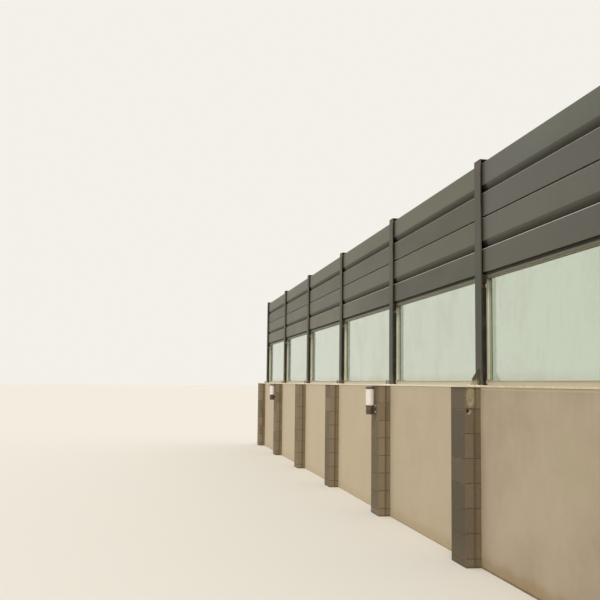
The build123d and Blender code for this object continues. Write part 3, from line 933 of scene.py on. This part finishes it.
# Strip between the head of a frame and the panel above
STRIP_HALF = BAY / 2 - 0.0955
STRIP_PROUD = 0.0015        # in front of the frame's face, then behind it
STRIP_BEHIND = 0.004
STRIP_LAP = 0.0115          # how far it hangs down over the frame's head
STRIP_CLEAR = 0.0005        # under the panel
STRIP_EDGE = 0.0012


def packing_and_shadow_strip(number):
    """Black rubber strip squeezed between the head of a frame and the panel above; it is packing and, lapped
    down over the head, a painted shadow of that gap.
    """
    bm = bmesh.new()
    x = bay_x(number)
    low = (x - STRIP_HALF, FRAME_FACE - STRIP_PROUD, FRAME_TOP - STRIP_LAP)
    high = (x + STRIP_HALF, FRAME_FACE + STRIP_BEHIND, LOWER_PANEL - STRIP_CLEAR)
    block(bm, low, high, edge=STRIP_EDGE)
    keep(f"packing_and_shadow_strip_{number}", bm, (rubber,))


# Folded clips that pin each frame in the channels of its posts, near its head and its foot
CLIP_HEIGHTS = (1.600, 2.462)
CLIP_HALF = 0.017
CLIP_ROOM = CLIP_HALF + 0.002
CLIP_SHEET = 0.003
CLIP_EDGE = 0.0008
CLIP_CLEAR = 0.0005         # off the post's flange
CLIP_LEG = 0.030
CLIP_NEAR = 0.030           # distances from the middle of a post, as the next two are
CLIP_FAR = 0.081
CLIP_SCREW = 0.074
SCREW_HEAD = [(0.0, 0.0036), (0.0028, 0.0034), (0.0052, 0.0022), (0.0060, 0.0), (0.0, 0.0)]

# Ribbed rubber packing in the channels: its body, the ribs on its end and the flap on the frame
SEAL_START = 0.034          # starts and ends are distances from the middle of a post
SEAL_END = 0.074
RIB_START = 0.072
RIB_END = 0.080
FLAP_END = 0.0945
FLAP = 0.0035
RIBS = ((-0.62, 0.30), (0.0, 0.36), (0.62, 0.30))       # middle and width, by half the packing's depth
SEAL_CLEAR = 0.0003
SEAL_SHORT = 0.001          # how far it stops from the frame's foot and head
SEAL_EDGE, RIB_EDGE, FLAP_EDGE = 0.002, 0.0014, 0.0012


def clip(bm, x, side, z):
    """An angle clip: one leg on the frame's stile, one on the flange of the post, and its screw."""
    outer, back = FRAME_FACE - CLIP_SHEET, FLANGE_INSIDE + CLIP_CLEAR
    fold = CLIP_NEAR + CLIP_SHEET
    for across, through in (
        ((CLIP_NEAR, CLIP_FAR), (FRAME_FACE, outer)),
        ((CLIP_NEAR, fold), (outer, back)),
        ((fold, CLIP_NEAR + CLIP_LEG), (back + CLIP_SHEET, back)),
    ):
        beside(bm, x, side, across, through, (z - CLIP_HALF, z + CLIP_HALF), CLIP_EDGE)
    place = Matrix.Translation((x + side * CLIP_SCREW, outer, z)) @ Matrix.Rotation(math.pi / 2, 4, "X")
    turned(bm, SCREW_HEAD, place, 12)


def channel_seal(bm, x, side, heights):
    """A length of ribbed rubber packed between the post's flange and the frame."""
    flange, stile = FLANGE_INSIDE + SEAL_CLEAR, FRAME_FACE - SEAL_CLEAR
    middle, half = (flange + stile) / 2, (stile - flange) / 2
    beside(bm, x, side, (SEAL_START, SEAL_END), (flange, stile), heights, SEAL_EDGE)
    for offset, width in RIBS:
        rib = (middle + half * (offset - width / 2), middle + half * (offset + width / 2))
        beside(bm, x, side, (RIB_START, RIB_END), rib, heights, RIB_EDGE)
    beside(bm, x, side, (RIB_START, FLAP_END), (stile - FLAP, stile), heights, FLAP_EDGE)


def fixed_frame_ends(number):
    """Clips and packing where the glazed frames stand in the channels of one post."""
    clips, seals = bmesh.new(), bmesh.new()
    starts = (FRAME_BOTTOM + SEAL_SHORT, *(z + CLIP_ROOM for z in CLIP_HEIGHTS))
    ends = (*(z - CLIP_ROOM for z in CLIP_HEIGHTS), FRAME_TOP - SEAL_SHORT)
    for side in (-1, 1):
        if side == FREE_SIDE.get(number):
            continue
        for z in CLIP_HEIGHTS:
            clip(clips, post_x(number), side, z)
        for heights in zip(starts, ends):
            channel_seal(seals, post_x(number), side, heights)
    keep(f"frame_clips_{number}", clips, (zinc,))
    keep(f"channel_seals_{number}", seals, (rubber,))


# Screws through the back plates of the lamps
LAMP_SCREW_X = 0.046
LAMP_SCREW_Z = 0.036
LAMP_WASHER = [(0.0, 0.0020), (0.0135, 0.0018), (0.0140, 0.0), (0.0, 0.0)]
LAMP_NUT_FOOT = 0.0018
LAMP_NUT_ACROSS = 0.018
LAMP_NUT_HEIGHT = 0.0085


def lamp_screws():
    bm = bmesh.new()
    low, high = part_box("lamp_brackets")
    middle = (low.z + high.z) / 2
    outwards = Matrix.Rotation(math.pi / 2, 4, "X")
    for number in LAMP_PIERS:
        for x in (-LAMP_SCREW_X, LAMP_SCREW_X):
            for z in (-LAMP_SCREW_Z, LAMP_SCREW_Z):
                place = Matrix.Translation((post_x(number) + x, LAMP_PLATE_FACE, middle + z)) @ outwards
                turned(bm, LAMP_WASHER, place, 20)
                foot = place @ Matrix.Translation((0, 0, LAMP_NUT_FOOT))
                hexagon_nut(bm, foot, LAMP_NUT_ACROSS, LAMP_NUT_HEIGHT)
    keep("lamp_screws", bm, (plated,))


# Mortar pressed out round the base plates
BEAD_CLEAR = 0.0006         # off the plate
BEAD_HALF_X = PLATE_HALF_X + BEAD_CLEAR
BEAD_HALF_Y = PLATE_HALF_Y + BEAD_CLEAR
BEAD_WIDTH = 0.011
WIDTH_CHANGE = 0.008
BEAD_HEIGHT = 0.0045
HEIGHT_CHANGE = 0.0045
BEAD_SUNK = 0.0008          # its borders, under the top of the coping


def along_edge(distance):
    """The point that far round a base plate, the way out from there, and how near it is to a corner."""
    corner, way = Vector((-BEAD_HALF_X, -BEAD_HALF_Y, 0)), Vector((1, 0, 0))
    for length in (2 * BEAD_HALF_X, 2 * BEAD_HALF_Y, 2 * BEAD_HALF_X, 2 * BEAD_HALF_Y):
        if distance <= length + 1e-9:
            break
        distance -= length
        corner += way * length
        way = Vector((-way.y, way.x, 0))
    return corner + way * distance, Vector((way.y, -way.x, 0)), min(distance, length - distance)


def bedding_mortar(number):
    """A low, uneven bead along the edge of a base plate, mitred at the plate's corners."""
    bm = bmesh.new()
    bmesh.ops.create_grid(bm, x_segments=120, y_segments=6, size=1.0)
    loop = 4 * (BEAD_HALF_X + BEAD_HALF_Y)
    for vert in bm.verts:
        closing = vert.co.x > 1 - 1e-6
        spot, out, room = along_edge(0.0 if closing else (vert.co.x + 1) / 2 * loop)
        across = vert.co.y
        wider = noise.noise(Vector((number * 5.0, spot.x * 34, spot.y * 34)))
        higher = noise.noise(Vector((spot.x * 60, number * 3.0, spot.y * 60)))
        width = BEAD_WIDTH + WIDTH_CHANGE * wider
        height = BEAD_HEIGHT + HEIGHT_CHANGE * higher
        height = max(0.0, height) * (1 - across * across)
        place = spot + out * (across * (width if across > 0 else min(width, room)))
        vert.co = (post_x(number) + place.x, place.y, COPING_TOP - BEAD_SUNK + height)
    bmesh.ops.remove_doubles(bm, verts=bm.verts[:], dist=1e-5)
    bmesh.ops.recalc_face_normals(bm, faces=bm.faces[:])
    for face in bm.faces:
        face.smooth = True
    keep(f"bedding_mortar_{number}", bm, (coping_face,))


chance = random.Random(7)
for number in range(1, POSTS + 1):
    tiled_pier(number, chance)
for number in range(1, POSTS + 1):
    anchor_bolts(number, chance)
for number in range(1, BAYS + 1):
    gaskets(number)
for number in range(1, BAYS + 1):
    packing_and_shadow_strip(number)
for number in range(1, POSTS + 1):
    fixed_frame_ends(number)
lamp_screws()
for number in range(1, POSTS + 1):
    bedding_mortar(number)


# Stage, light and camera
BACKDROP = (0.90, 0.875, 0.82)


def studio_world():
    world = bpy.data.worlds.new("studio")
    bpy.context.scene.world = world
    f = Finish("studio", world)
    lighting = f.add("ShaderNodeBackground", {}, {"Color": (1.0, 0.965, 0.90), "Strength": 0.92})
    shown = f.add("ShaderNodeBackground", {}, {"Color": BACKDROP, "Strength": 1.0})
    f.done(f.either(f.seen(), lighting, shown), output="ShaderNodeOutputWorld")


def studio_floor():
    f = Finish("studio_floor")
    colour = f.mix(f.seen(), (0.20, 0.19, 0.17), (0.72, 0.70, 0.655))
    finish = f.done(f.coat(colour, 0.9, Specular_IOR_Level=0.1))
    bm = bmesh.new()
    bmesh.ops.create_grid(bm, x_segments=1, y_segments=1, size=400.0)
    floor = new_object("studio_floor", bm, (finish,))


def lamp(name, toward, energy, angle, colour):
    """A broad, even light that comes from the direction `toward`."""
    light = bpy.data.lights.new(name, "SUN")
    light.energy = energy
    light.angle = math.radians(angle)
    light.color = colour
    holder = bpy.data.objects.new(name, light)
    holder.rotation_mode = "QUATERNION"
    holder.rotation_quaternion = Vector(toward).to_track_quat("Z", "Y")
    bpy.context.scene.collection.objects.link(holder)


def photo_camera():
    yaw, pitch, roll = math.radians(9.358), math.radians(5.331), math.radians(0.666)
    look = Vector((-math.cos(yaw) * math.cos(pitch), math.sin(yaw) * math.cos(pitch), math.sin(pitch)))
    camera = bpy.data.objects.new("camera", bpy.data.cameras.new("camera"))
    camera.data.sensor_width = 36.0
    camera.data.lens = 53.52
    camera.data.clip_start = 0.05
    camera.data.clip_end = 1000.0
    camera.location = (13.683, -2.977, 1.567)
    camera.rotation_mode = "QUATERNION"
    camera.rotation_quaternion = look.to_track_quat("-Z", "Y") @ Matrix.Rotation(roll, 3, "Z").to_quaternion()
    bpy.context.scene.collection.objects.link(camera)
    bpy.context.scene.camera = camera


studio_world()
studio_floor()
lamp("key_light", (0.85, -0.45, 0.95), 1.50, 32, (1.0, 0.955, 0.88))
photo_camera()
bpy.context.scene.view_settings.view_transform = "Standard"
